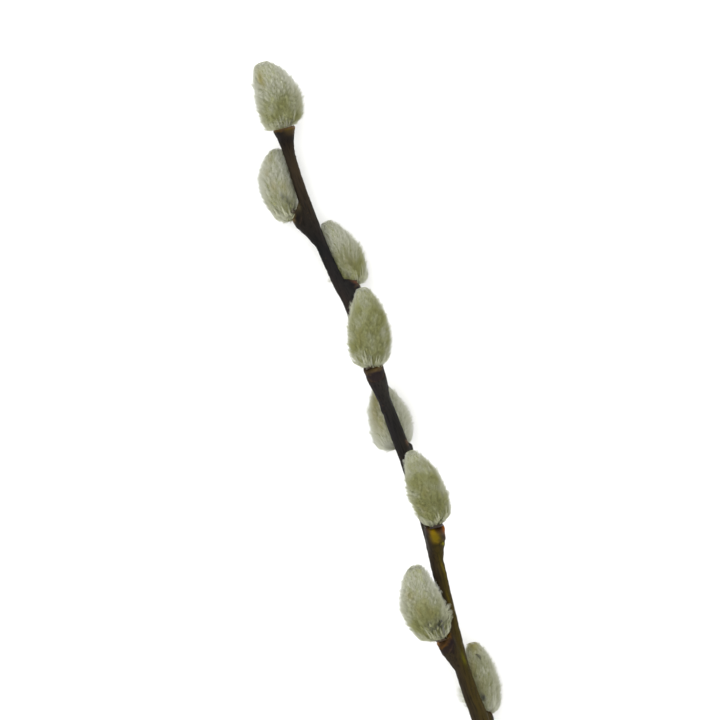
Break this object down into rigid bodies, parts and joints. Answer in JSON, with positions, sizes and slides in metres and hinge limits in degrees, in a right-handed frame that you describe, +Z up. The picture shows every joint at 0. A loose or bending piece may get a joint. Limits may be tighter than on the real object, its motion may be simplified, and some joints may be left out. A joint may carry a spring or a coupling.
{
  "type": "willow branch",
  "caption": "Cut pussy willow branch lying on its side, its woody stem set with silky egg-shaped catkins, each on a swollen node with a collar of bud scale.",
  "frame": {"origin": "middle of the whole branch's bounding box, on the surface that the branch lies on", "axes": "+X along the branch towards its tip, +Z up towards the side that the picture shows, +Y to the left when looking from the cut end to the tip with +Z up"},
  "size_m": [0.203, 0.021, 0.0235],
  "materials": {
    "bark": "satin",
    "catkin_hair": "matte",
    "bud_scale": "satin"
  },
  "bodies": {
    "root": {"twig": "bark", "catkin_1": "catkin_hair", "catkin_2": "catkin_hair", "catkin_3": "catkin_hair", "catkin_4": "catkin_hair", "catkin_5": "catkin_hair", "catkin_6": "catkin_hair", "catkin_7": "catkin_hair", "catkin_8": "catkin_hair", "bud_scale_1": "bud_scale", "bud_scale_2": "bud_scale", "bud_scale_3": "bud_scale", "bud_scale_4": "bud_scale", "bud_scale_5": "bud_scale", "bud_scale_6": "bud_scale", "bud_scale_7": "bud_scale", "bud_scale_8": "bud_scale"}
  },
  "joints": []
}
